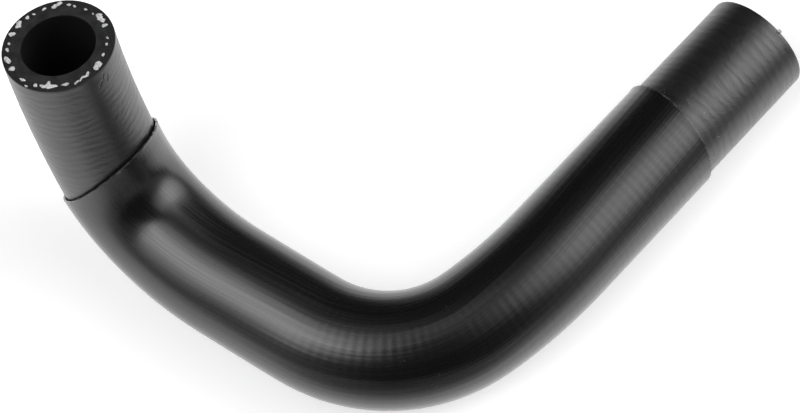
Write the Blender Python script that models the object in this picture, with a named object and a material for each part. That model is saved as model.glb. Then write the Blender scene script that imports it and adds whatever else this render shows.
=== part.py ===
"""Moulded heater hose with a shrunk-on protective sleeve, in metres with +Z up.

The hose lies as it rests on a floor: the middle run and the far end touch it, and the
other end stands up from the floor at the first tight bend.
"""

import math

import bmesh
import bpy
from mathutils import Matrix, Vector

# Hose section
BORE_DIAMETER = 0.016
HOSE_DIAMETER = 0.0245

# Sleeve section: its wall, and its gap to the hose
SLEEVE_WALL = 0.00045
SLEEVE_GAP = 0.0003

# Straight lengths between the bends, from the raised mouth to the far mouth
MOUTH_RUN = 0.0029
RISER_RUN = 0.002
FOOT_RUN = 0.0015
FLOOR_RUN = 0.0204
LINK_RUN = 0.002
TAIL_RUN = 0.0694

# Heading of each straight from +X towards +Y, in degrees
MOUTH_HEADING = -50.7
RISER_HEADING = -46.1
FOOT_HEADING = -41.2
FLOOR_HEADING = -31.0
LINK_HEADING = 39.1
TAIL_HEADING = 50.9

# Slope of each straight above the floor, in degrees
MOUTH_SLOPE = -73.5
RISER_SLOPE = -61.4
FOOT_SLOPE = -4.8
FLOOR_SLOPE = 0.0
LINK_SLOPE = 4.4
TAIL_SLOPE = -2.5

# Centreline radius of each bend
MOUTH_BEND_RADIUS = 0.150
FOOT_BEND_RADIUS = 0.023
SWEEP_BEND_RADIUS = 0.080
CORNER_BEND_RADIUS = 0.032
TAIL_BEND_RADIUS = 0.090

# Sleeve edges: how far along the centreline each lies from its own mouth, and the way its cut faces
RAISED_EDGE_FROM_MOUTH = 0.0374
RAISED_EDGE_HEADING = -37.8
RAISED_EDGE_SLOPE = -31.4
FAR_EDGE_FROM_MOUTH = 0.0309
FAR_EDGE_HEADING = 43.8
FAR_EDGE_SLOPE = -5.6

# Facets: sides of the round section, widest step round a bend, longest step along a straight
SIDES = 36
BEND_STEP = math.radians(6.5)
LONGEST_STEP = 0.012

# How far a cutter runs past what it cuts
OVERCUT = 0.004

# Welds the loose end caps that a filled curve leaves
WELD_DISTANCE = 0.00001


def direction(heading, slope):
    """Unit vector for a heading and a slope in degrees."""
    turn, rise = math.radians(heading), math.radians(slope)
    return Vector((math.cos(rise) * math.cos(turn), math.cos(rise) * math.sin(turn), math.sin(rise)))


def along_straight(points, way, length):
    """Adds even steps along a straight to the points."""
    steps = math.ceil(length / LONGEST_STEP)
    start = points[-1]
    for k in range(1, steps + 1):
        points.append(start + way * (length * k / steps))


def round_bend(points, way_in, way_out, radius):
    """Adds even steps round an arc that leaves way_in and ends on way_out."""
    angle = way_in.angle(way_out)
    inward = (way_out - way_in * way_in.dot(way_out)).normalized()
    start = points[-1]
    steps = max(3, math.ceil(angle / BEND_STEP))
    for k in range(1, steps + 1):
        swung = angle * k / steps
        points.append(start + way_in * (radius * math.sin(swung)) + inward * (radius * (1.0 - math.cos(swung))))


def centreline():
    """Points from the raised mouth to the far mouth, and the direction at each mouth."""
    runs = (MOUTH_RUN, RISER_RUN, FOOT_RUN, FLOOR_RUN, LINK_RUN, TAIL_RUN)
    ways = (
        direction(MOUTH_HEADING, MOUTH_SLOPE),
        direction(RISER_HEADING, RISER_SLOPE),
        direction(FOOT_HEADING, FOOT_SLOPE),
        direction(FLOOR_HEADING, FLOOR_SLOPE),
        direction(LINK_HEADING, LINK_SLOPE),
        direction(TAIL_HEADING, TAIL_SLOPE),
    )
    radii = (MOUTH_BEND_RADIUS, FOOT_BEND_RADIUS, SWEEP_BEND_RADIUS, CORNER_BEND_RADIUS, TAIL_BEND_RADIUS)
    points = [Vector((0.0, 0.0, 0.0))]
    for k, run in enumerate(runs):
        along_straight(points, ways[k], run)
        if k < len(radii):
            round_bend(points, ways[k], ways[k + 1], radii[k])
    return points, ways[0], ways[-1]


def point_along(points, distance):
    """The point a given distance along the line of points."""
    left = distance
    for start, end in zip(points, points[1:]):
        step = (end - start).length
        if left <= step:
            return start.lerp(end, left / step)
        left -= step
    return points[-1].copy()


def clear_scene():
    """Removes everything the file starts with."""
    for thing in list(bpy.data.objects):
        bpy.data.objects.remove(thing, do_unlink=True)


def new_collection(name):
    """A collection linked into the scene."""
    group = bpy.data.collections.new(name)
    bpy.context.scene.collection.children.link(group)
    return group


def tube(name, points, radius, group):
    """A solid round bar swept along the points."""
    curve = bpy.data.curves.new(name + "_path", "CURVE")
    curve.dimensions = "3D"
    curve.twist_mode = "MINIMUM"
    curve.bevel_depth = radius
    curve.bevel_resolution = SIDES // 2 - 2
    curve.use_fill_caps = True
    spline = curve.splines.new("POLY")
    spline.points.add(len(points) - 1)
    for node, point in zip(spline.points, points):
        node.co = (point.x, point.y, point.z, 1.0)
    path = bpy.data.objects.new(name + "_path", curve)
    bpy.context.scene.collection.objects.link(path)
    bpy.context.view_layer.update()
    graph = bpy.context.evaluated_depsgraph_get()
    mesh = bpy.data.meshes.new_from_object(path.evaluated_get(graph))
    body = bpy.data.objects.new(name, mesh)
    body.matrix_world = path.matrix_world
    group.objects.link(body)
    bpy.data.objects.remove(path, do_unlink=True)
    bpy.data.curves.remove(curve)
    mesh.name = name
    mesh.materials.clear()
    shape = bmesh.new()
    shape.from_mesh(mesh)
    bmesh.ops.remove_doubles(shape, verts=shape.verts, dist=WELD_DISTANCE)
    bmesh.ops.recalc_face_normals(shape, faces=shape.faces)
    for face in shape.faces:
        face.smooth = len(face.verts) == 4
    shape.to_mesh(mesh)
    shape.free()
    return body


def lengthened(points, way_in, way_out, extra):
    """The same line begun earlier and ended later."""
    return [points[0] - way_in * extra] + points[1:-1] + [points[-1] + way_out * extra]


def trimming_block(name, at, away, reach, group):
    """A block with the middle of one face at a point, that reaches as far in the direction away and to each side."""
    bpy.ops.mesh.primitive_cube_add(size=1.0)
    block = bpy.context.active_object
    block.name = name
    block.data.name = name
    shape = bmesh.new()
    shape.from_mesh(block.data)
    turn = away.to_track_quat("Z", "Y")
    for vert in shape.verts:
        local = Vector((vert.co.x * 2 * reach, vert.co.y * 2 * reach, (vert.co.z + 0.5) * reach))
        vert.co = at + turn @ local
    shape.to_mesh(block.data)
    shape.free()
    for owner in list(block.users_collection):
        owner.objects.unlink(block)
    group.objects.link(block)
    return block


def cut_away(body, cutter):
    """Subtracts the cutter from the body with a live Boolean."""
    cut = body.modifiers.new(cutter.name, "BOOLEAN")
    cut.operation = "DIFFERENCE"
    cut.solver = "EXACT"
    cut.object = cutter
    cutter.hide_render = True
    cutter.display_type = "WIRE"


def rubber(name, colour, roughness):
    """A plain rubber material."""
    material = bpy.data.materials.new(name)
    material.use_nodes = True
    shader = material.node_tree.nodes["Principled BSDF"]
    shader.inputs["Base Color"].default_value = colour
    shader.inputs["Roughness"].default_value = roughness
    shader.inputs["Metallic"].default_value = 0.0
    return material


def rest_on_floor(parts, cutters):
    """Moves every mesh so that the finished parts touch z = 0 with their box centred on the origin."""
    bpy.context.view_layer.update()
    graph = bpy.context.evaluated_depsgraph_get()
    corners = []
    for body in parts.objects:
        finished = body.evaluated_get(graph).to_mesh()
        corners.extend(vert.co.copy() for vert in finished.vertices)
        body.evaluated_get(graph).to_mesh_clear()
    low = [min(corner[k] for corner in corners) for k in range(3)]
    high = [max(corner[k] for corner in corners) for k in range(3)]
    shift = Vector((-(low[0] + high[0]) / 2, -(low[1] + high[1]) / 2, -low[2]))
    for thing in list(parts.objects) + list(cutters.objects):
        thing.data.transform(Matrix.Translation(shift))


def build():
    """Makes the hose and its sleeve."""
    clear_scene()
    parts = new_collection("heater_hose")
    cutters = new_collection("cutters")
    points, way_in, way_out = centreline()
    reach = lengthened(points, way_in, way_out, OVERCUT)

    hose = tube("hose", points, HOSE_DIAMETER / 2, parts)
    cut_away(hose, tube("bore_cutter", reach, BORE_DIAMETER / 2, cutters))
    hose.data.materials.append(rubber("hose_rubber", (0.020, 0.020, 0.021, 1.0), 0.46))

    inner_radius = HOSE_DIAMETER / 2 + SLEEVE_GAP
    outer_radius = inner_radius + SLEEVE_WALL
    sleeve = tube("protective_sleeve", points, outer_radius, parts)
    cut_away(sleeve, tube("sleeve_bore_cutter", reach, inner_radius, cutters))
    raised = point_along(points, RAISED_EDGE_FROM_MOUTH)
    raised_way = -direction(RAISED_EDGE_HEADING, RAISED_EDGE_SLOPE)
    raised_reach = RAISED_EDGE_FROM_MOUTH + outer_radius + OVERCUT
    cut_away(sleeve, trimming_block("raised_edge_cutter", raised, raised_way, raised_reach, cutters))
    far = point_along(points[::-1], FAR_EDGE_FROM_MOUTH)
    far_way = direction(FAR_EDGE_HEADING, FAR_EDGE_SLOPE)
    far_reach = FAR_EDGE_FROM_MOUTH + outer_radius + OVERCUT
    cut_away(sleeve, trimming_block("far_edge_cutter", far, far_way, far_reach, cutters))
    sleeve.data.materials.append(rubber("sleeve_rubber", (0.014, 0.014, 0.015, 1.0), 0.30))
    rest_on_floor(parts, cutters)


build()
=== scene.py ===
import math
import random

import bpy
from mathutils import Matrix, Vector


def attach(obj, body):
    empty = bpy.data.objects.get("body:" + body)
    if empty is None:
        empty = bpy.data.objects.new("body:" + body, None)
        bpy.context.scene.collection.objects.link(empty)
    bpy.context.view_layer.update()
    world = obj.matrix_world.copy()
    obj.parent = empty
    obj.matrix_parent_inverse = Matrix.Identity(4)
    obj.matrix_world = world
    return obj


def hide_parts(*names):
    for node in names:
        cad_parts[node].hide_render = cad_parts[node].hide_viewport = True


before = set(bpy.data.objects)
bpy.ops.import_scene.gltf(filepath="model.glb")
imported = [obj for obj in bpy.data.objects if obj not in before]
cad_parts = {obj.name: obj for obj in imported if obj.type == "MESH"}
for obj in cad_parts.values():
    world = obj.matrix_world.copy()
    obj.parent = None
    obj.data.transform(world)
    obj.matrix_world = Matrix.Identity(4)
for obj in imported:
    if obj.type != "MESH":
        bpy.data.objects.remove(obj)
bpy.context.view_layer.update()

MM = 0.001

# ---------------------------------------------------------------- sizes of the hose, in metres

BORE_RADIUS = 8.0 * MM
COVER_RADIUS = 12.25 * MM
SLEEVE_INNER_RADIUS = 12.55 * MM
SLEEVE_OUTER_RADIUS = 13.0 * MM

# the route of the centreline, from the raised mouth to the far mouth, with headings and slopes in degrees
RAISED_MOUTH = Vector((-74.316, 12.091, 59.746)) * MM
RUNS = (2.9 * MM, 2.0 * MM, 1.5 * MM, 20.4 * MM, 2.0 * MM, 69.4 * MM)
HEADINGS = (-50.7, -46.1, -41.2, -31.0, 39.1, 50.9)
SLOPES = (-73.5, -61.4, -4.8, 0.0, 4.4, -2.5)
BEND_RADII = (150.0 * MM, 23.0 * MM, 80.0 * MM, 32.0 * MM, 90.0 * MM)

# a straight lead before and after the hose, the spacing of the route's points, and how many points on each
# side a bend is eased over
LEAD_IN = 20.0 * MM
ROUTE_STEP = 0.8 * MM
EASED_OVER = 4

# the sleeve's edges: place along the centreline, and heading and slope that each cut faces
RAISED_EDGE = 37.4 * MM
RAISED_EDGE_FACES = (-37.8, -31.4)
FAR_EDGE_FROM_END = 30.9 * MM
FAR_EDGE_FACES = (43.8, -5.6)

# how far each edge of the sleeve is lifted, over what reach, and the side on which it stands off most
RAISED_EDGE_LIFT, RAISED_EDGE_REACH, RAISED_EDGE_SIDE = 0.09 * MM, 2.2 * MM, Vector((0.9, 0.3, 0.3))
FAR_EDGE_LIFT, FAR_EDGE_REACH, FAR_EDGE_SIDE = 0.13 * MM, 2.0 * MM, Vector((-0.5, 0.6, 0.6))
# the width of the paler band along each cut edge of the sleeve, a painted highlight on its lip
PAINTED_HIGHLIGHT_WIDTH = 0.20 * MM

# the cloth wrap that the cover was cured in left a ridge at every turn; it shows through the sleeve as a ripple
RIDGE_PITCH = 1.93 * MM
RIDGE_HEIGHT = 0.009 * MM
RIPPLE_HEIGHT = 0.009 * MM
RIPPLE_FAINT = 0.12
RIPPLE_GROWS_FROM = 78.0 * MM
RIPPLE_GROWS_OVER = 35.0 * MM

# the ridges go on a little way under the sleeve
RIDGES_UNTIL = RAISED_EDGE + 14.0 * MM
RIDGES_UNDER_FAR_EDGE = 5.0 * MM

# how finely the profiles are divided
SIDES_ROUND = 96
RIDGE_STEPS = 10
RIPPLE_STEPS = 5
FACE_RINGS = 14
BORE_RINGS = 110
PLAIN_STEP = 2.5 * MM
MOUTH_EDGE = 0.12 * MM

# the sleeve starts out this much longer at each end, to be cut at a slant
SPARE_AT_RAISED_EDGE = 18.0 * MM
SPARE_AT_FAR_EDGE = 6.0 * MM

# depths of the relief that is only shaded
RIDGE_BUMP = 0.018 * MM
THREAD_BUMP = 0.009 * MM
COVER_GRAIN_BUMP = 0.006 * MM
SCRATCH_BUMP = 0.10 * MM
FACE_GRAIN_BUMP = 0.05 * MM
BORE_GRAIN_BUMP = 0.02 * MM
YARN_BUMP = 0.04 * MM
BROAD_LINE_BUMP = 0.052 * MM
FINE_LINE_BUMP = 0.003 * MM
SLEEVE_GRAIN_BUMP = 0.002 * MM

# how far the drawn lines wind round the sleeve, in radians for each millimetre
LINE_WINDING = 0.005

# yarn ends on the raised mouth: angle round the face in degrees, distance from its middle, length and width
# in mm, and turn in degrees
RAISED_YARNS = (
    (-171.0, 10.87, 1.25, 1.00, -60), (-158.9, 11.00, 1.17, 0.93, -60), (-154.8, 11.20, 1.20, 0.80, -27),
    (-142.5, 11.00, 0.90, 0.60, -24), (-134.0, 10.84, 0.60, 0.49, -25), (-120.5, 11.05, 1.30, 0.95, 70),
    (-108.0, 11.00, 1.20, 1.00, 30), (-104.5, 11.35, 1.10, 0.90, -10), (-93.7, 11.00, 0.94, 0.70, -46),
    (-85.7, 10.80, 0.75, 0.35, 35), (-72.6, 10.90, 0.85, 0.50, -14), (-61.0, 10.75, 1.20, 0.80, -35),
    (-55.5, 11.30, 1.30, 0.80, -35), (-44.2, 10.89, 0.93, 0.50, 3), (-37.0, 10.60, 0.70, 0.42, 20),
    (-22.3, 10.53, 0.70, 0.42, -8), (-10.4, 10.40, 0.50, 0.38, 0), (-3.2, 10.95, 1.25, 0.95, -52),
    (1.0, 10.70, 1.10, 0.95, 77), (5.2, 10.78, 1.15, 0.90, -25), (13.5, 10.63, 1.10, 0.80, -80),
    (32.6, 10.54, 0.60, 0.42, -15), (42.1, 10.48, 0.62, 0.48, -12), (57.3, 10.51, 0.80, 0.55, -10),
    (70.7, 10.60, 1.20, 0.85, 14), (71.6, 11.20, 1.20, 0.80, -5), (76.0, 10.95, 1.35, 0.95, -52),
    (88.0, 10.80, 1.10, 0.60, -50), (92.5, 10.98, 1.20, 0.45, 25), (97.0, 11.00, 1.30, 0.35, -35),
    (102.0, 11.25, 0.90, 0.30, -10), (105.1, 11.50, 0.40, 0.35, 44), (115.2, 10.84, 1.40, 0.60, 7),
    (129.5, 10.85, 1.60, 0.70, -4), (135.3, 10.20, 0.80, 1.20, 0), (135.0, 10.85, 1.60, 1.00, 0),
    (141.0, 10.95, 1.40, 0.60, 15), (149.7, 11.00, 0.85, 0.70, 40), (158.5, 11.90, 0.70, 0.40, 0),
    (167.4, 10.96, 1.30, 0.55, -7),
)
# radius of the yarn's ring in mm, and how far the middles of the yarn ends stand out of the face
YARN_RING = 10.9
YARN_HEIGHT = 0.03 * MM
FAR_YARN_COUNT = 30
# the loose yarn end on the rim of the far mouth, given in the same way
LOOSE_YARN = (107.5, 12.35, 0.8, 1.5, 0)

# scratches in the cover by the raised mouth: their two ends on the straight hose, and their width, in mm
SCRATCHES = (
    ((1.57, 12.15, 4.14), (2.32, 12.03, 3.48), 0.36),
    ((3.37, 11.78, 1.52), (2.87, 11.91, 3.26), 0.20),
    ((4.28, 11.48, 3.00), (3.66, 11.69, 5.00), 0.20),
)


def way(heading, slope):
    """Unit vector for a heading and a slope in degrees."""
    turn, rise = math.radians(heading), math.radians(slope)
    return Vector((math.cos(rise) * math.cos(turn), math.cos(rise) * math.sin(turn), math.sin(rise)))


def route():
    """Points along the centreline, with straight leads and gradual bends, and the hose's length."""
    ways = [way(h, s) for h, s in zip(HEADINGS, SLOPES)]
    points = [RAISED_MOUTH - ways[0] * LEAD_IN, RAISED_MOUTH.copy()]
    for k, run in enumerate(RUNS):
        start = points[-1]
        count = max(2, math.ceil(run / ROUTE_STEP))
        points += [start + ways[k] * (run * i / count) for i in range(1, count + 1)]
        if k < len(BEND_RADII):
            radius = BEND_RADII[k]
            angle = ways[k].angle(ways[k + 1])
            inward = (ways[k + 1] - ways[k] * ways[k].dot(ways[k + 1])).normalized()
            start = points[-1]
            count = math.ceil(angle * radius / ROUTE_STEP)
            for i in range(1, count + 1):
                swung = angle * i / count
                ahead, aside = radius * math.sin(swung), radius * (1 - math.cos(swung))
                points.append(start + ways[k] * ahead + inward * aside)
    eased = []
    for k in range(1, len(points)):
        near = min(k - 1, len(points) - 1 - k, EASED_OVER)
        window = points[k - near:k + near + 1]
        eased.append(sum(window, Vector()) / len(window))
    length = sum((end - start).length for start, end in zip(eased, eased[1:]))
    return [points[0]] + eased + [eased[-1] + ways[-1] * LEAD_IN], length


ROUTE, HOSE_LENGTH = route()
RIDGES_FROM = HOSE_LENGTH - FAR_EDGE_FROM_END - RIDGES_UNDER_FAR_EDGE


# ---------------------------------------------------------------- modelling helpers

def deselect_everything():
    """Leaves edit mode, with nothing selected."""
    if bpy.context.object and bpy.context.object.mode != "OBJECT":
        bpy.ops.object.mode_set(mode="OBJECT")
    bpy.ops.object.select_all(action="DESELECT")


def pick(obj):
    """Makes obj the only selected and the active object."""
    deselect_everything()
    obj.select_set(True)
    bpy.context.view_layer.objects.active = obj


def named(name):
    """The primitive that was just added, under its own name."""
    obj = bpy.context.active_object
    obj.name = name
    obj.data.name = name
    return obj


def apply_all(obj):
    """Applies the modifiers of obj from the top down."""
    pick(obj)
    for modifier in list(obj.modifiers):
        bpy.ops.object.modifier_apply(modifier=modifier.name)


def select_faces(obj, wanted):
    """Selects, in object mode, the faces whose middle passes a test, and goes to edit mode."""
    pick(obj)
    bpy.ops.object.mode_set(mode="EDIT")
    bpy.ops.mesh.select_mode(type="FACE")
    bpy.ops.mesh.select_all(action="DESELECT")
    bpy.ops.object.mode_set(mode="OBJECT")
    for face in obj.data.polygons:
        face.select = wanted(face)
    bpy.ops.object.mode_set(mode="EDIT")


def turned_from_profile(name, profile):
    """A round piece about Z: one corner is extruded along the profile of (radius, height) pairs and spun."""
    deselect_everything()
    bpy.ops.mesh.primitive_plane_add(size=0.01, location=(0.0, 0.0, 0.0))
    obj = named(name)
    pick(obj)
    bpy.ops.object.mode_set(mode="EDIT")
    bpy.ops.mesh.select_mode(type="VERT")
    bpy.ops.mesh.select_all(action="SELECT")
    bpy.ops.mesh.merge(type="CENTER")
    radius, height = profile[0]
    bpy.ops.transform.translate(value=(radius, 0.0, height))
    for next_radius, next_height in profile[1:]:
        bpy.ops.mesh.extrude_region_move(
            TRANSFORM_OT_translate={"value": (next_radius - radius, 0.0, next_height - height)})
        radius, height = next_radius, next_height
    bpy.ops.mesh.select_all(action="SELECT")
    bpy.ops.mesh.spin(steps=SIDES_ROUND, angle=math.tau, center=(0.0, 0.0, 0.0), axis=(0.0, 0.0, 1.0))
    bpy.ops.mesh.select_all(action="SELECT")
    bpy.ops.mesh.remove_doubles(threshold=0.002 * MM)
    bpy.ops.mesh.normals_make_consistent(inside=False)
    bpy.ops.object.mode_set(mode="OBJECT")
    return obj


def note_straight_places(obj):
    """Keeps each point's place on the straight hose in millimetres, for patterns that follow the bends."""
    places = obj.data.attributes.new("straight_place", "FLOAT_VECTOR", "POINT")
    for vert, place in zip(obj.data.vertices, places.data):
        place.vector = vert.co / MM


def bend_along_route(obj, path):
    """Bends a straight piece that stands along Z onto the route."""
    bend = obj.modifiers.new("route_bend", "CURVE")
    bend.object = path
    bend.deform_axis = "POS_Z"
    apply_all(obj)


def move_along(obj, height):
    """Slides a straight piece along Z in edit mode."""
    pick(obj)
    bpy.ops.object.mode_set(mode="EDIT")
    bpy.ops.mesh.select_all(action="SELECT")
    bpy.ops.transform.translate(value=(0.0, 0.0, height))
    bpy.ops.object.mode_set(mode="OBJECT")


def route_path():
    """The curve that the straight pieces are bent along."""
    curve = bpy.data.curves.new("route_path", "CURVE")
    curve.dimensions = "3D"
    curve.twist_mode = "MINIMUM"
    curve.use_path = True
    spline = curve.splines.new("POLY")
    spline.points.add(len(ROUTE) - 1)
    for control, point in zip(spline.points, ROUTE):
        control.co = (point.x, point.y, point.z, 1.0)
    path = bpy.data.objects.new("route_path", curve)
    bpy.context.scene.collection.objects.link(path)
    bpy.context.view_layer.update()
    return path


# ---------------------------------------------------------------- hose

def ridge_radii(start, end, seed):
    """Radius and height pairs of the cover from start to end, with a worn ridge at each turn of the wrap."""
    chance = random.Random(seed)
    pairs = []
    for turn in range(int((end - start) / RIDGE_PITCH) + 1):
        tall = RIDGE_HEIGHT * chance.uniform(0.5, 1.2)
        lean = chance.uniform(-0.25, 0.25)
        for step in range(RIDGE_STEPS):
            height = start + (turn + step / RIDGE_STEPS) * RIDGE_PITCH
            if height > end:
                break
            phase = math.tau * step / RIDGE_STEPS
            pairs.append((COVER_RADIUS + tall * (math.sin(phase) + lean * math.sin(2.0 * phase)), height))
    return pairs


def hose_profile():
    """The hose's section as radius and height pairs: cover, far face, bore, raised face."""
    edge, length = MOUTH_EDGE, HOSE_LENGTH
    raised_end = ridge_radii(0.5 * MM, RIDGES_UNTIL, 3)
    far_end = ridge_radii(RIDGES_FROM, length - 0.5 * MM, 8)
    across_wall = [COVER_RADIUS + (BORE_RADIUS - COVER_RADIUS) * k / FACE_RINGS for k in range(1, FACE_RINGS)]
    profile = [(COVER_RADIUS - edge, 0.0), (COVER_RADIUS - edge * 0.3, edge * 0.3), (COVER_RADIUS, edge)]
    profile += raised_end
    height = raised_end[-1][1] + 3.0 * MM
    while height < far_end[0][1] - 1.0 * MM:
        profile.append((COVER_RADIUS, height))
        height += PLAIN_STEP
    profile += far_end
    profile += [(COVER_RADIUS, length - edge), (COVER_RADIUS - edge * 0.3, length - edge * 0.3),
                (COVER_RADIUS - edge, length)]
    profile += [(radius, length) for radius in across_wall]
    profile += [(BORE_RADIUS + edge, length), (BORE_RADIUS, length - edge)]
    for k in range(1, BORE_RINGS):
        profile.append((BORE_RADIUS, length - edge - (length - 2 * edge) * k / BORE_RINGS))
    profile += [(BORE_RADIUS, edge), (BORE_RADIUS + edge, 0.0)]
    profile += [(radius, 0.0) for radius in reversed(across_wall)]
    profile.append(profile[0])
    return profile


def weight_group(obj, name, weight):
    """A vertex group whose weight comes from each point's place on the straight hose."""
    group = obj.vertex_groups.new(name=name)
    for vert in obj.data.vertices:
        value = weight(vert.co)
        if value > 0.0:
            group.add([vert.index], value, "REPLACE")


def roughen(obj, name, group, size, strength, direction="NORMAL"):
    """Pushes the points of a group about by soft noise."""
    noise = bpy.data.textures.new(name, "CLOUDS")
    noise.noise_scale = size
    noise.noise_depth = 2
    push = obj.modifiers.new(name, "DISPLACE")
    push.texture = noise
    push.texture_coords = "LOCAL"
    push.strength = strength
    push.mid_level = 0.5
    push.vertex_group = group
    push.direction = direction


def build_hose(path):
    """The hose: bore, wall and cover, with the wrap's ridges on both bare ends."""
    hose = turned_from_profile("hose_body", hose_profile())
    flat = 0.02 * MM

    def on_cover(place):
        out = math.hypot(place.x, place.y)
        wrapped = place.z < RIDGES_UNTIL or place.z > RIDGES_FROM
        off_faces = 0.4 * MM < place.z < HOSE_LENGTH - 0.4 * MM
        return 1.0 if wrapped and off_faces and out > COVER_RADIUS - 0.1 * MM else 0.0

    def away_from_mouths(place):
        inward = min(place.z, HOSE_LENGTH - place.z)
        return on_cover(place) * min(1.0, max(0.0, (inward - 0.5 * MM) / (4.0 * MM)))

    def on_face(place):
        out = math.hypot(place.x, place.y)
        at_end = place.z < flat or place.z > HOSE_LENGTH - flat
        inside = BORE_RADIUS + 0.2 * MM < out < COVER_RADIUS - 0.2 * MM
        return 1.0 if at_end and inside else 0.0

    weight_group(hose, "bare_cover", on_cover)
    weight_group(hose, "straying_ridges", away_from_mouths)
    weight_group(hose, "cut_faces", on_face)
    note_straight_places(hose)
    roughen(hose, "ridge_stray", "straying_ridges", 7.0 * MM, 2.4 * MM, "Z")
    roughen(hose, "uneven_wrap", "bare_cover", 2.6 * MM, 0.050 * MM)
    roughen(hose, "sawn_face", "cut_faces", 0.9 * MM, 0.16 * MM)
    apply_all(hose)
    for material in (hose_cover_material(), cut_face_material(), bore_material()):
        hose.data.materials.append(material)

    def on_cut(face):
        return abs(face.normal.z) > 0.8 and math.hypot(face.center.x, face.center.y) < COVER_RADIUS - 0.05 * MM

    def in_bore(face):
        return abs(face.normal.z) < 0.8 and math.hypot(face.center.x, face.center.y) < BORE_RADIUS + 0.1 * MM

    for slot, wanted in ((1, on_cut), (2, in_bore)):
        select_faces(hose, wanted)
        hose.active_material_index = slot
        bpy.ops.object.material_slot_assign()
    bpy.ops.object.mode_set(mode="OBJECT")
    move_along(hose, LEAD_IN)
    bend_along_route(hose, path)
    pick(hose)
    bpy.ops.object.shade_smooth_by_angle(angle=math.radians(40.0))
    return hose


# ---------------------------------------------------------------- sleeve

def sleeve_profile():
    """Radius and height pairs of the sleeve's outside, long enough at both ends to be cut at a slant."""
    start = RAISED_EDGE - SPARE_AT_RAISED_EDGE
    end = HOSE_LENGTH - FAR_EDGE_FROM_END + SPARE_AT_FAR_EDGE
    chance = random.Random(21)
    pairs = []
    for turn in range(int((end - start) / RIDGE_PITCH)):
        grown = (start + turn * RIDGE_PITCH - RIPPLE_GROWS_FROM) / RIPPLE_GROWS_OVER
        tall = RIPPLE_HEIGHT * chance.uniform(0.5, 1.3) * min(1.0, max(RIPPLE_FAINT, grown))
        for step in range(RIPPLE_STEPS):
            part = step / RIPPLE_STEPS
            radius = SLEEVE_OUTER_RADIUS + tall * math.sin(math.tau * part)
            pairs.append((radius, start + (turn + part) * RIDGE_PITCH))
    return pairs


def cut_slanted(obj, at, faces, clear_outer):
    """Cuts a bent tube by a plane and throws away one side."""
    pick(obj)
    bpy.ops.object.mode_set(mode="EDIT")
    bpy.ops.mesh.select_all(action="SELECT")
    bpy.ops.mesh.bisect(plane_co=at, plane_no=way(*faces), clear_outer=clear_outer, clear_inner=not clear_outer,
                        threshold=0.001 * MM)
    bpy.ops.mesh.select_all(action="DESELECT")
    bpy.ops.object.mode_set(mode="OBJECT")


def flare(obj, name, at, faces, reach, lift, side):
    """Lifts the skin near a cut, most on one side, so that the edge stands off what it covers."""
    facing = way(*faces)

    def near_cut(place):
        close = max(0.0, 1.0 - abs((place - at).dot(facing)) / reach)
        round_it = (place - at).normalized().dot(side)
        return close * close * (0.35 + 0.65 * max(0.0, round_it))

    weight_group(obj, name, near_cut)
    push = obj.modifiers.new(name, "DISPLACE")
    push.strength = lift
    push.mid_level = 0.0
    push.vertex_group = name


def point_on_route(distance):
    """The point of the centreline a given distance from the raised mouth."""
    left = distance + LEAD_IN
    for start, end in zip(ROUTE, ROUTE[1:]):
        step = (end - start).length
        if left <= step:
            return start.lerp(end, left / step)
        left -= step
    return ROUTE[-1]


def build_sleeve(path):
    """The thin smooth sleeve, cut by hand at a slant at both ends."""
    sleeve = turned_from_profile("sleeve_body", sleeve_profile())
    note_straight_places(sleeve)
    move_along(sleeve, LEAD_IN)
    bend_along_route(sleeve, path)
    raised, far = point_on_route(RAISED_EDGE), point_on_route(HOSE_LENGTH - FAR_EDGE_FROM_END)
    cut_slanted(sleeve, raised, RAISED_EDGE_FACES, False)
    cut_slanted(sleeve, far, FAR_EDGE_FACES, True)
    flare(sleeve, "raised_edge_flare", raised, RAISED_EDGE_FACES,
          RAISED_EDGE_REACH, RAISED_EDGE_LIFT, RAISED_EDGE_SIDE)
    flare(sleeve, "far_edge_flare", far, FAR_EDGE_FACES, FAR_EDGE_REACH, FAR_EDGE_LIFT, FAR_EDGE_SIDE)
    roughen(sleeve, "hand_cut_raised_edge", "raised_edge_flare", 1.1 * MM, 0.30 * MM, "RGB_TO_XYZ")
    roughen(sleeve, "hand_cut_far_edge", "far_edge_flare", 1.6 * MM, 0.16 * MM, "RGB_TO_XYZ")
    wall = sleeve.modifiers.new("sleeve_wall", "SOLIDIFY")
    wall.thickness = SLEEVE_OUTER_RADIUS - SLEEVE_INNER_RADIUS
    wall.offset = -1.0
    apply_all(sleeve)
    lip = sleeve.modifiers.new("rounded_lip", "BEVEL")
    lip.width = 0.14 * MM
    lip.segments = 3
    lip.limit_method = "ANGLE"
    lip.angle_limit = math.radians(50.0)
    apply_all(sleeve)
    # marks a band along each cut edge, which the sleeve's material paints paler as a painted highlight on the lip
    worn = sleeve.data.attributes.new("painted_lip_highlight", "FLOAT", "POINT")
    raised_facing, far_facing = way(*RAISED_EDGE_FACES), way(*FAR_EDGE_FACES)
    for vert, mark in zip(sleeve.data.vertices, worn.data):
        from_cut = min(abs((vert.co - raised).dot(raised_facing)), abs((vert.co - far).dot(far_facing)))
        mark.value = 1.0 if from_cut < PAINTED_HIGHLIGHT_WIDTH else 0.0
    sleeve.data.materials.append(sleeve_material())
    pick(sleeve)
    bpy.ops.object.shade_smooth_by_angle(angle=math.radians(60.0))
    return sleeve


# ---------------------------------------------------------------- yarn ends

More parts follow.
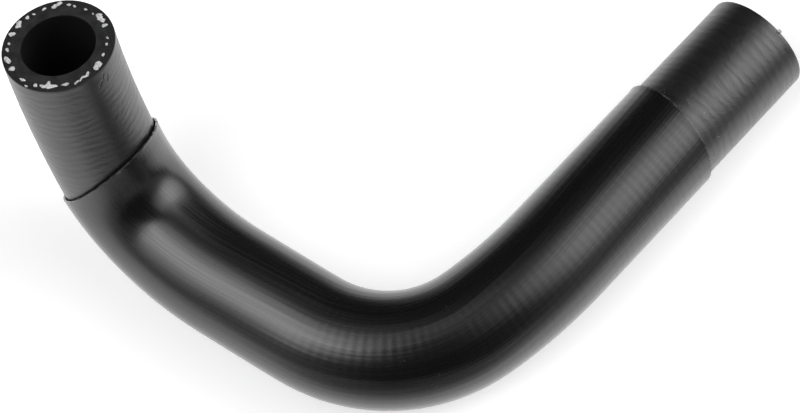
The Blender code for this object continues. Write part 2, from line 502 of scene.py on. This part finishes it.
def ragged_tuft():
    """One cut yarn end, 1 mm across: a low lump with the ends of its fibres standing out of it."""
    deselect_everything()
    bpy.ops.mesh.primitive_ico_sphere_add(subdivisions=3, radius=0.5 * MM, location=(0.0, 0.0, 0.0))
    tuft = named("yarn_tuft")
    chance = random.Random(5)
    picked = {face.index for face in tuft.data.polygons if chance.random() < 0.22}
    select_faces(tuft, lambda face: face.index in picked)
    bpy.ops.mesh.extrude_faces_move(TRANSFORM_OT_shrink_fatten={"value": 0.09 * MM})
    bpy.ops.mesh.select_all(action="SELECT")
    bpy.ops.transform.resize(value=(1.0, 1.0, 0.42))
    bpy.ops.object.mode_set(mode="OBJECT")
    weight_group(tuft, "whole_tuft", lambda place: 1.0)
    roughen(tuft, "ragged_outline", "whole_tuft", 0.30 * MM, 0.62 * MM)
    apply_all(tuft)
    return tuft


def build_yarn_ends(name, path, places, height, seed):
    """The ring of white yarn ends on a cut face, bent with the hose."""
    chance = random.Random(seed)
    first = ragged_tuft()
    tufts = []
    for angle, out, along, across, turn in places:
        tuft = first.copy()
        tuft.data = first.data.copy()
        bpy.context.scene.collection.objects.link(tuft)
        pick(tuft)
        tuft.rotation_euler.z = chance.uniform(0.0, math.tau)
        bpy.ops.object.transform_apply(location=True, rotation=True, scale=True)
        tuft.scale = (along, across, chance.uniform(0.7, 1.1))
        tuft.rotation_euler.z = math.radians(angle + 90.0 + turn)
        at = math.radians(angle)
        tuft.location = (out * MM * math.cos(at), out * MM * math.sin(at), height)
        bpy.ops.object.transform_apply(location=True, rotation=True, scale=True)
        tufts.append(tuft)
    bpy.data.objects.remove(first, do_unlink=True)
    deselect_everything()
    for tuft in tufts:
        tuft.select_set(True)
    bpy.context.view_layer.objects.active = tufts[0]
    bpy.ops.object.join()
    ring = named(name)
    note_straight_places(ring)
    move_along(ring, LEAD_IN)
    bend_along_route(ring, path)
    ring.data.materials.clear()
    ring.data.materials.append(yarn_material())
    pick(ring)
    bpy.ops.object.shade_smooth_by_angle(angle=math.radians(50.0))
    return ring


def far_yarns():
    """Places for the yarn ends on the far mouth, which the photograph hides."""
    chance = random.Random(14)
    ring = [(360.0 * (k + chance.uniform(-0.3, 0.3)) / FAR_YARN_COUNT, YARN_RING + chance.uniform(-0.25, 0.25),
             chance.uniform(0.5, 1.5), chance.uniform(0.45, 0.95), chance.uniform(-50.0, 50.0))
            for k in range(FAR_YARN_COUNT)]
    return ring + [LOOSE_YARN]


# ---------------------------------------------------------------- shader groups

def new_group(name, inputs, outputs):
    """A shader node group with named sockets, and its input and output nodes."""
    group = bpy.data.node_groups.new(name, "ShaderNodeTree")
    for label, kind, value in inputs:
        socket = group.interface.new_socket(name=label, in_out="INPUT", socket_type=kind)
        if value is not None:
            socket.default_value = value
    for label, kind in outputs:
        group.interface.new_socket(name=label, in_out="OUTPUT", socket_type=kind)
    return group, group.nodes.new("NodeGroupInput"), group.nodes.new("NodeGroupOutput")


def node(tree, kind, **settings):
    """A new node; settings name its properties."""
    made = tree.nodes.new(kind)
    for key, value in settings.items():
        setattr(made, key, value)
    return made


def axes_of(tree, vector):
    """The X, Y and Z outputs of a vector socket."""
    split = node(tree, "ShaderNodeSeparateXYZ")
    tree.links.new(vector, split.inputs[0])
    return split.outputs


def math_node(tree, operation, first, second=None):
    """A Math node; each operand is a number or an output socket."""
    made = node(tree, "ShaderNodeMath", operation=operation)
    for slot, value in enumerate((first, second)):
        if value is None:
            continue
        if isinstance(value, (int, float)):
            made.inputs[slot].default_value = value
        else:
            tree.links.new(value, made.inputs[slot])
    return made.outputs[0]


def stretched(tree, vector, scale):
    """The vector scaled by a different number on each axis."""
    mapping = tree.nodes.new("ShaderNodeMapping")
    mapping.inputs["Scale"].default_value = scale
    tree.links.new(vector, mapping.inputs["Vector"])
    return mapping.outputs["Vector"]


def noise_of(tree, vector, scale, detail=3.0, rough=0.5):
    """Noise value of a vector socket."""
    made = tree.nodes.new("ShaderNodeTexNoise")
    made.inputs["Scale"].default_value = scale
    made.inputs["Detail"].default_value = detail
    made.inputs["Roughness"].default_value = rough
    tree.links.new(vector, made.inputs["Vector"])
    return made.outputs["Fac"]


def ranged(tree, value, low, high, to_low=0.0, to_high=1.0):
    """The value taken softly from one range to another."""
    made = node(tree, "ShaderNodeMapRange", interpolation_type="SMOOTHSTEP")
    for slot, number in zip(("From Min", "From Max", "To Min", "To Max"), (low, high, to_low, to_high)):
        made.inputs[slot].default_value = number
    tree.links.new(value, made.inputs["Value"])
    return made.outputs["Result"]


def grain_group():
    """Fine pitted skin of cured rubber: a height and a slow unevenness."""
    group, entry, leave = new_group(
        "rubber_grain",
        [("Vector", "NodeSocketVector", None), ("Pits", "NodeSocketFloat", 3.0)],
        [("Height", "NodeSocketFloat"), ("Unevenness", "NodeSocketFloat")])
    scaled = node(group, "ShaderNodeVectorMath", operation="SCALE")
    group.links.new(entry.outputs["Vector"], scaled.inputs[0])
    group.links.new(entry.outputs["Pits"], scaled.inputs["Scale"])
    fine = noise_of(group, scaled.outputs[0], 1.0, 4.0, 0.6)
    slow = noise_of(group, entry.outputs["Vector"], 0.12, 3.0, 0.55)
    group.links.new(fine, leave.inputs["Height"])
    group.links.new(slow, leave.inputs["Unevenness"])
    return group


def dust_group():
    """Sparse pale specks of dust and talc."""
    group, entry, leave = new_group(
        "dust_specks",
        [("Vector", "NodeSocketVector", None), ("Spacing", "NodeSocketFloat", 1.0),
         ("Amount", "NodeSocketFloat", 0.1)],
        [("Mask", "NodeSocketFloat")])
    scaled = node(group, "ShaderNodeVectorMath", operation="SCALE")
    group.links.new(entry.outputs["Vector"], scaled.inputs[0])
    group.links.new(entry.outputs["Spacing"], scaled.inputs["Scale"])
    cells = node(group, "ShaderNodeTexVoronoi", feature="F1")
    cells.inputs["Scale"].default_value = 1.0
    group.links.new(scaled.outputs[0], cells.inputs["Vector"])
    near = ranged(group, cells.outputs["Distance"], 0.05, 0.17, 1.0, 0.0)
    split = node(group, "ShaderNodeSeparateColor")
    group.links.new(cells.outputs["Color"], split.inputs["Color"])
    chosen = math_node(group, "LESS_THAN", split.outputs["Red"], entry.outputs["Amount"])
    patchy = ranged(group, noise_of(group, entry.outputs["Vector"], 0.25, 2.0), 0.45, 0.65)
    mask = math_node(group, "MULTIPLY", math_node(group, "MULTIPLY", near, chosen), patchy)
    group.links.new(mask, leave.inputs["Mask"])
    return group


def wrap_group():
    """The imprint of the cloth that a hose is cured in: fine threads round it, and a ridge at each turn."""
    group, entry, leave = new_group(
        "wrap_imprint",
        [("Vector", "NodeSocketVector", None), ("Pitch", "NodeSocketFloat", RIDGE_PITCH / MM)],
        [("Threads", "NodeSocketFloat"), ("Ridges", "NodeSocketFloat")])
    place = entry.outputs["Vector"]
    threads = noise_of(group, stretched(group, place, (0.22, 0.22, 3.4)), 1.0, 3.0, 0.6)
    wander = noise_of(group, stretched(group, place, (0.35, 0.35, 0.5)), 1.0, 2.0)
    turns = math_node(group, "DIVIDE", axes_of(group, place)["Z"], entry.outputs["Pitch"])
    turns = math_node(group, "ADD", turns, math_node(group, "MULTIPLY", wander, 0.5))
    ridge = math_node(group, "PINGPONG", math_node(group, "FRACT", turns), 0.5)
    ridge = math_node(group, "MULTIPLY", ridge, 2.0)
    patches = noise_of(group, stretched(group, place, (0.55, 0.55, 0.8)), 1.0, 2.0)
    worn = ranged(group, patches, 0.38, 0.62)
    group.links.new(threads, leave.inputs["Threads"])
    group.links.new(math_node(group, "MULTIPLY", ridge, worn), leave.inputs["Ridges"])
    return group


def drawn_group():
    """Fine and broad lines along a drawn sleeve."""
    group, entry, leave = new_group(
        "drawn_lines",
        [("Vector", "NodeSocketVector", None)],
        [("Height", "NodeSocketFloat"), ("Broad", "NodeSocketFloat")])
    place = entry.outputs["Vector"]
    wound = node(group, "ShaderNodeVectorRotate", rotation_type="Z_AXIS")
    group.links.new(place, wound.inputs["Vector"])
    group.links.new(math_node(group, "MULTIPLY", axes_of(group, place)["Z"], LINE_WINDING), wound.inputs["Angle"])
    fine = noise_of(group, stretched(group, wound.outputs["Vector"], (2.6, 2.6, 0.02)), 1.0, 3.0, 0.6)
    broad = noise_of(group, stretched(group, wound.outputs["Vector"], (0.85, 0.85, 0.012)), 1.0, 2.0, 0.5)
    group.links.new(fine, leave.inputs["Height"])
    group.links.new(broad, leave.inputs["Broad"])
    return group


GROUPS = {"grain": grain_group(), "dust": dust_group(), "wrap": wrap_group(), "drawn": drawn_group()}


def use_group(tree, which, vector, **values):
    """Places a shader group in a material with its own values."""
    made = tree.nodes.new("ShaderNodeGroup")
    made.node_tree = GROUPS[which]
    tree.links.new(vector, made.inputs["Vector"])
    for label, value in values.items():
        made.inputs[label].default_value = value
    return made


def blend_colours(tree, mask, first, second):
    """Mixes two colours, or sockets, by a mask."""
    made = node(tree, "ShaderNodeMix", data_type="RGBA")
    tree.links.new(mask, made.inputs["Factor"])
    for label, value in (("A", first), ("B", second)):
        socket = [s for s in made.inputs if s.name == label and s.type == "RGBA"][0]
        if isinstance(value, tuple):
            socket.default_value = value
        else:
            tree.links.new(value, socket)
    return [s for s in made.outputs if s.type == "RGBA"][0]


def bumped(tree, height, distance, below=None):
    """A Bump node's normal, laid over another normal if one is given."""
    made = node(tree, "ShaderNodeBump")
    made.inputs["Strength"].default_value = 1.0
    made.inputs["Distance"].default_value = distance
    tree.links.new(height, made.inputs["Height"])
    if below is not None:
        tree.links.new(below, made.inputs["Normal"])
    return made.outputs["Normal"]


# ---------------------------------------------------------------- materials

def grey(level, blue=None):
    """A grey colour, with its own amount of blue if one is given."""
    return (level, level, level if blue is None else blue, 1.0)


def speckled(tree, mask, amount, below, specks):
    """The colour below with specks of another over it, as strong as the mask times the amount."""
    return blend_colours(tree, math_node(tree, "MULTIPLY", mask, amount), below, specks)


def read_attribute(tree, name):
    """A node that reads a value kept on the mesh."""
    return node(tree, "ShaderNodeAttribute", attribute_type="GEOMETRY", attribute_name=name)


def new_material(name):
    """A material with its tree, shader and the straight-hose place."""
    material = bpy.data.materials.new(name)
    material.use_nodes = True
    tree = material.node_tree
    place = read_attribute(tree, "straight_place").outputs["Vector"]
    return material, tree, tree.nodes["Principled BSDF"], place


def scratch_mask(tree, place):
    """1 in the scratches of the cover, 0 beside them."""
    scratched = None
    for start, end, width in SCRATCHES:
        groove = ranged(tree, distance_to_run(tree, place, start, end), width * 0.3, width, 1.0, 0.0)
        scratched = groove if scratched is None else math_node(tree, "MAXIMUM", scratched, groove)
    return scratched


def hose_cover_material():
    """Matt black cover with the wrap's threads and ridges, talc by the sleeve and a few scratches."""
    material, tree, shader, place = new_material("hose_cover_rubber")
    wrap = use_group(tree, "wrap", place)
    grain = use_group(tree, "grain", place, Pits=5.0)
    dust = use_group(tree, "dust", place, Spacing=1.6, Amount=0.16)
    talc = use_group(tree, "dust", place, Spacing=1.3, Amount=0.90)
    scratched = scratch_mask(tree, place)

    far_edge = HOSE_LENGTH - FAR_EDGE_FROM_END
    middle, half = (RAISED_EDGE + far_edge) / 2.0 / MM, (far_edge - RAISED_EDGE) / 2.0 / MM
    from_middle = math_node(tree, "ABSOLUTE", math_node(tree, "SUBTRACT", axes_of(tree, place)["Z"], middle))
    by_sleeve = ranged(tree, from_middle, half, half + 8.0, 0.9, 0.0)
    colour = blend_colours(tree, grain.outputs["Unevenness"], grey(0.005, 0.0053), grey(0.009, 0.0095))
    colour = speckled(tree, dust.outputs["Mask"], 0.35, colour, grey(0.25))
    colour = speckled(tree, talc.outputs["Mask"], by_sleeve, colour, grey(0.75))
    tree.links.new(colour, shader.inputs["Base Color"])

    rough = ranged(tree, wrap.outputs["Threads"], 0.3, 0.7, 0.30, 0.40)
    rough = math_node(tree, "ADD", rough, math_node(tree, "MULTIPLY", scratched, 0.55))
    tree.links.new(rough, shader.inputs["Roughness"])
    shader.inputs["Specular IOR Level"].default_value = 0.95

    normal = bumped(tree, wrap.outputs["Ridges"], RIDGE_BUMP)
    normal = bumped(tree, wrap.outputs["Threads"], THREAD_BUMP, below=normal)
    normal = bumped(tree, grain.outputs["Height"], COVER_GRAIN_BUMP, below=normal)
    normal = bumped(tree, math_node(tree, "SUBTRACT", 1.0, scratched), SCRATCH_BUMP, below=normal)
    tree.links.new(normal, shader.inputs["Normal"])
    return material


def cut_face_material():
    """Sawn end of the wall: a liner inside, a darker cover outside, torn rubber and loose fibres by the yarn."""
    material, tree, shader, place = new_material("cut_rubber_face")
    axes = axes_of(tree, place)
    flat = node(tree, "ShaderNodeCombineXYZ")
    tree.links.new(axes["X"], flat.inputs["X"])
    tree.links.new(axes["Y"], flat.inputs["Y"])
    out = node(tree, "ShaderNodeVectorMath", operation="LENGTH")
    tree.links.new(flat.outputs[0], out.inputs[0])
    radius = out.outputs["Value"]
    wobble = math_node(tree, "MULTIPLY", noise_of(tree, place, 0.9, 2.0), 0.5)
    in_cover = ranged(tree, math_node(tree, "ADD", radius, wobble), 10.5, 11.1)
    grain = use_group(tree, "grain", place, Pits=3.4)
    torn = ranged(tree, grain.outputs["Height"], 0.35, 0.7)
    slow = ranged(tree, noise_of(tree, place, 0.35, 3.0), 0.35, 0.65)

    liner = blend_colours(tree, slow, grey(0.006, 0.007), grey(0.024, 0.025))
    liner = speckled(tree, torn, 0.5, liner, grey(0.045, 0.046))
    cover = blend_colours(tree, torn, grey(0.004, 0.005), grey(0.036, 0.037))
    face = blend_colours(tree, in_cover, liner, cover)
    fibres = use_group(tree, "dust", place, Spacing=2.4, Amount=0.50)
    from_ring = math_node(tree, "ABSOLUTE", math_node(tree, "SUBTRACT", radius, YARN_RING))
    in_ring = ranged(tree, from_ring, 0.3, 0.9, 0.8, 0.0)
    face = speckled(tree, fibres.outputs["Mask"], in_ring, face, grey(0.45, 0.44))
    tree.links.new(face, shader.inputs["Base Color"])

    tree.links.new(ranged(tree, grain.outputs["Height"], 0.3, 0.7, 0.5, 0.75), shader.inputs["Roughness"])
    tree.links.new(bumped(tree, grain.outputs["Height"], FACE_GRAIN_BUMP), shader.inputs["Normal"])
    shader.inputs["Specular IOR Level"].default_value = 0.30
    return material


def bore_material():
    """Dull black bore: black rubber, its colour set a little darker as painted shade of the deep bore."""
    material, tree, shader, place = new_material("bore_rubber")
    grain = use_group(tree, "grain", place, Pits=3.0)
    # colour a little darker than the cover and the liner: black rubber with painted shade in the bore
    colour = blend_colours(tree, grain.outputs["Unevenness"], grey(0.0040), grey(0.0080))
    tree.links.new(colour, shader.inputs["Base Color"])
    tree.links.new(ranged(tree, grain.outputs["Height"], 0.3, 0.7, 0.72, 0.85), shader.inputs["Roughness"])
    tree.links.new(bumped(tree, grain.outputs["Height"], BORE_GRAIN_BUMP), shader.inputs["Normal"])
    shader.inputs["Specular IOR Level"].default_value = 0.15
    return material


def yarn_material():
    """White polyester yarn: fine fibres with grey between them."""
    material, tree, shader, place = new_material("white_yarn")
    fibres = noise_of(tree, place, 3.2, 4.0, 0.65)
    colour = blend_colours(tree, ranged(tree, fibres, 0.28, 0.60), grey(0.34), grey(0.84, 0.83))
    tree.links.new(colour, shader.inputs["Base Color"])
    tree.links.new(ranged(tree, fibres, 0.3, 0.7, 0.7, 0.9), shader.inputs["Roughness"])
    tree.links.new(bumped(tree, fibres, YARN_BUMP), shader.inputs["Normal"])
    return material


def sleeve_material():
    """Satin black sleeve with drawn lines that fade out by the foot bend, dust, and a paler painted highlight
    along the cut edges.
    """
    material, tree, shader, place = new_material("sleeve_satin_rubber")
    drawn = use_group(tree, "drawn", place)
    grain = use_group(tree, "grain", place, Pits=6.0)
    dust = use_group(tree, "dust", place, Spacing=1.1, Amount=0.16)
    colour = blend_colours(tree, grain.outputs["Unevenness"], grey(0.0016, 0.0017), grey(0.0032, 0.0034))
    colour = speckled(tree, dust.outputs["Mask"], 0.25, colour, grey(0.3))
    # painted highlight: the band along the cut edges is painted a paler grey, in patches
    worn = read_attribute(tree, "painted_lip_highlight").outputs["Fac"]
    patches = ranged(tree, noise_of(tree, place, 0.5, 2.0), 0.35, 0.65, 0.2, 1.0)
    colour = speckled(tree, worn, patches, colour, grey(0.075))
    tree.links.new(colour, shader.inputs["Base Color"])

    rough = ranged(tree, drawn.outputs["Height"], 0.3, 0.7, 0.22, 0.30)
    tree.links.new(rough, shader.inputs["Roughness"])
    shader.inputs["Specular IOR Level"].default_value = 0.8

    past_foot = ranged(tree, axes_of(tree, place)["Z"], 58.0, 92.0, 0.12, 1.0)
    normal = bumped(tree, math_node(tree, "MULTIPLY", drawn.outputs["Broad"], past_foot), BROAD_LINE_BUMP)
    normal = bumped(tree, drawn.outputs["Height"], FINE_LINE_BUMP, below=normal)
    normal = bumped(tree, grain.outputs["Height"], SLEEVE_GRAIN_BUMP, below=normal)
    tree.links.new(normal, shader.inputs["Normal"])
    return material


# ---------------------------------------------------------------- floor, light and camera

# the hose's line on the floor; the painted glow that the floor gives to mirror-like rubber near it and far from
# it, and the painted shade in front;
# and the size of the floor and its wall
FLOOR_LINE = ((-0.065, 0.000, 0.0), (-0.044, -0.017, 0.0), (-0.001, -0.043, 0.0), (0.026, -0.021, 0.0),
              (0.077, 0.041, 0.0))
MIRRORED_GLOW = 0.80
FAR_GLOW = 0.16
FRONT_SHADE = 0.30
FLOOR_RADIUS = 3.0
WALL_HEIGHT = 0.38


def distance_to_run(tree, place, start, end):
    """How far a place is from the straight between two points."""
    span = Vector(end) - Vector(start)
    offset = node(tree, "ShaderNodeVectorMath", operation="SUBTRACT")
    tree.links.new(place, offset.inputs[0])
    offset.inputs[1].default_value = start
    along = node(tree, "ShaderNodeVectorMath", operation="DOT_PRODUCT")
    tree.links.new(offset.outputs["Vector"], along.inputs[0])
    along.inputs[1].default_value = span / span.length_squared
    part = math_node(tree, "MAXIMUM", math_node(tree, "MINIMUM", along.outputs["Value"], 1.0), 0.0)
    nearest = node(tree, "ShaderNodeVectorMath", operation="SCALE")
    nearest.inputs[0].default_value = span
    tree.links.new(part, nearest.inputs["Scale"])
    gap = node(tree, "ShaderNodeVectorMath", operation="DISTANCE")
    tree.links.new(offset.outputs["Vector"], gap.inputs[0])
    tree.links.new(nearest.outputs["Vector"], gap.inputs[1])
    return gap.outputs["Value"]


def floor_material():
    """A painted pool of light: white near the hose and greyer away from it, with painted shade in front, as a lit
    table in a dim room is.
    """
    material = bpy.data.materials.new("white_floor")
    material.use_nodes = True
    tree = material.node_tree
    shader = tree.nodes["Principled BSDF"]
    shader.inputs["Roughness"].default_value = 0.9
    shader.inputs["Specular IOR Level"].default_value = 0.0
    place = node(tree, "ShaderNodeTexCoord").outputs["Object"]
    away = None
    for start, end in zip(FLOOR_LINE, FLOOR_LINE[1:]):
        gap = distance_to_run(tree, place, start, end)
        away = gap if away is None else math_node(tree, "MINIMUM", away, gap)
    axes = axes_of(tree, place)
    # painted shade on the floor in front of the hose, strongest in the middle
    shade = ranged(tree, axes["Y"], -0.095, -0.050, 1.0 - FRONT_SHADE, 0.0)
    aside = math_node(tree, "ABSOLUTE", math_node(tree, "SUBTRACT", axes["X"], 0.02))
    shade = math_node(tree, "MULTIPLY", shade, ranged(tree, aside, 0.05, 0.13, 1.0, 0.0))
    front = math_node(tree, "SUBTRACT", 1.0, shade)
    grain = ranged(tree, noise_of(tree, place, 30.0, 3.0), 0.0, 1.0, 0.98, 1.0)
    # painted pool of light: the floor's colour is paler near the hose and greyer away from it
    paint = ranged(tree, away, 0.02, 0.20, 0.80, 0.36)
    paint = math_node(tree, "MULTIPLY", math_node(tree, "MULTIPLY", paint, front), grain)
    colour = node(tree, "ShaderNodeCombineXYZ")
    for axis in "XYZ":
        tree.links.new(paint, colour.inputs[axis])
    tree.links.new(colour.outputs[0], shader.inputs["Base Color"])
    light_path = node(tree, "ShaderNodeLightPath")
    to_white = math_node(tree, "SUBTRACT", 1.12, math_node(tree, "MULTIPLY", paint, 0.78))
    seen = math_node(tree, "MULTIPLY", light_path.outputs["Is Camera Ray"], to_white)
    mirrored = math_node(tree, "MAXIMUM", light_path.outputs["Is Glossy Ray"],
                         light_path.outputs["Is Transmission Ray"])
    # painted glow seen in reflections: bright near the hose, dimmer far from it and less in front
    near_glow = math_node(tree, "MULTIPLY", ranged(tree, away, 0.03, 0.18, MIRRORED_GLOW, FAR_GLOW), front)
    tree.links.new(math_node(tree, "ADD", seen, math_node(tree, "MULTIPLY", mirrored, near_glow)),
                   shader.inputs["Emission Strength"])
    shader.inputs["Emission Color"].default_value = (1.0, 1.0, 1.0, 1.0)
    return material


def build_floor():
    """A wide pale floor with a low wall round it, which takes the hose's shadow."""
    deselect_everything()
    bpy.ops.mesh.primitive_circle_add(vertices=96, radius=FLOOR_RADIUS, fill_type="NGON", location=(0.0, 0.0, 0.0))
    floor = named("pale_floor")
    pick(floor)
    bpy.ops.object.mode_set(mode="EDIT")
    bpy.ops.mesh.select_mode(type="EDGE")
    bpy.ops.mesh.select_all(action="SELECT")
    bpy.ops.mesh.region_to_loop()
    bpy.ops.mesh.extrude_region_move(TRANSFORM_OT_translate={"value": (0.0, 0.0, WALL_HEIGHT)})
    bpy.ops.object.mode_set(mode="OBJECT")
    floor.data.materials.append(floor_material())


def towards(azimuth, elevation):
    """Unit vector to a light: azimuth 0 is away from the viewer and 90 to the right, in degrees."""
    turn, rise = math.radians(azimuth), math.radians(elevation)
    return (math.sin(turn) * math.cos(rise), math.cos(turn) * math.cos(rise), math.sin(rise))


# soft lights of the room: azimuth, elevation, full out to, gone beyond (degrees), brightness
SOFT_LIGHTS = (
    (-129.5, 52.9, 0.3, 25.0, 2.20),
    (-123.6, 33.2, 6.0, 19.6, 1.80),
    (-120.4, 16.1, 6.1, 52.2, 0.21),
    (81.7, 46.9, 1.3, 33.7, 1.32),
    (70.4, 62.5, 5.0, 26.0, 0.60),
    (66.5, 28.2, 0.3, 34.4, 2.23),
    (92.7, 4.0, 0.0, 43.9, 0.35),
    (-49.5, 77.2, 5.7, 14.0, 0.48),
    (-120.9, 10.9, 3.7, 18.3, 0.82),
    (33.8, 61.2, 5.3, 8.3, 0.82),
    (-7.7, 61.6, 4.0, 8.0, 0.11),
    (-108.5, 63.5, 16.9, 21.9, 1.74),
)
ROOM_LEVEL = 0.040


def build_world():
    """A dim room with broad soft lights to the left, the front and the right."""
    world = bpy.data.worlds.new("studio_room")
    bpy.context.scene.world = world
    world.use_nodes = True
    tree = world.node_tree
    background = tree.nodes["Background"]
    ray = node(tree, "ShaderNodeTexCoord").outputs["Generated"]
    total = None
    for azimuth, elevation, full, gone, bright in SOFT_LIGHTS:
        lined_up = node(tree, "ShaderNodeVectorMath", operation="DOT_PRODUCT")
        tree.links.new(ray, lined_up.inputs[0])
        lined_up.inputs[1].default_value = towards(azimuth, elevation)
        outer, inner = math.cos(math.radians(gone)), math.cos(math.radians(full))
        glow = ranged(tree, lined_up.outputs["Value"], outer, inner, 0.0, bright)
        total = glow if total is None else math_node(tree, "ADD", total, glow)
    total = math_node(tree, "ADD", total, ROOM_LEVEL)
    tree.links.new(total, background.inputs["Strength"])
    background.inputs["Color"].default_value = (1.0, 1.0, 1.0, 1.0)


# the camera fitted to the photograph: dip and roll in degrees, lens and sensor in mm
CAMERA_PLACE = Vector((-0.00152, -0.34704, 0.81838))
CAMERA_DIP = 66.8
CAMERA_ROLL = -2.0
CAMERA_LENS = 180.0
CAMERA_SENSOR = 36.0


def build_camera():
    """The photograph's camera: a long lens above and in front of the hose."""
    data = bpy.data.cameras.new("photo_camera")
    data.lens = CAMERA_LENS
    data.sensor_width = CAMERA_SENSOR
    data.clip_start = 0.01
    data.clip_end = 50.0
    camera = bpy.data.objects.new("photo_camera", data)
    bpy.context.scene.collection.objects.link(camera)
    dip, roll = math.radians(CAMERA_DIP), math.radians(CAMERA_ROLL)
    ahead = Vector((0.0, math.cos(dip), -math.sin(dip)))
    level = Vector((1.0, 0.0, 0.0))
    down = ahead.cross(level)
    right = level * math.cos(roll) + down * math.sin(roll)
    below = down * math.cos(roll) - level * math.sin(roll)
    turn = Matrix((right, -below, -ahead)).transposed()
    camera.matrix_world = Matrix.Translation(CAMERA_PLACE) @ turn.to_4x4()
    bpy.context.scene.camera = camera


# ---------------------------------------------------------------- build

path = route_path()
hose = build_hose(path)
sleeve = build_sleeve(path)
raised_yarns = build_yarn_ends("raised_yarn_ends", path, RAISED_YARNS, -YARN_HEIGHT, 31)
far_yarn_ends = build_yarn_ends("far_yarn_ends", path, far_yarns(), HOSE_LENGTH + YARN_HEIGHT, 32)
bpy.data.objects.remove(path, do_unlink=True)

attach(hose, "root")
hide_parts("hose")
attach(sleeve, "root")
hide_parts("protective_sleeve")
for ring in (raised_yarns, far_yarn_ends):
    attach(ring, "root")

build_floor()
build_world()
build_camera()
bpy.context.scene.view_settings.view_transform = "Standard"
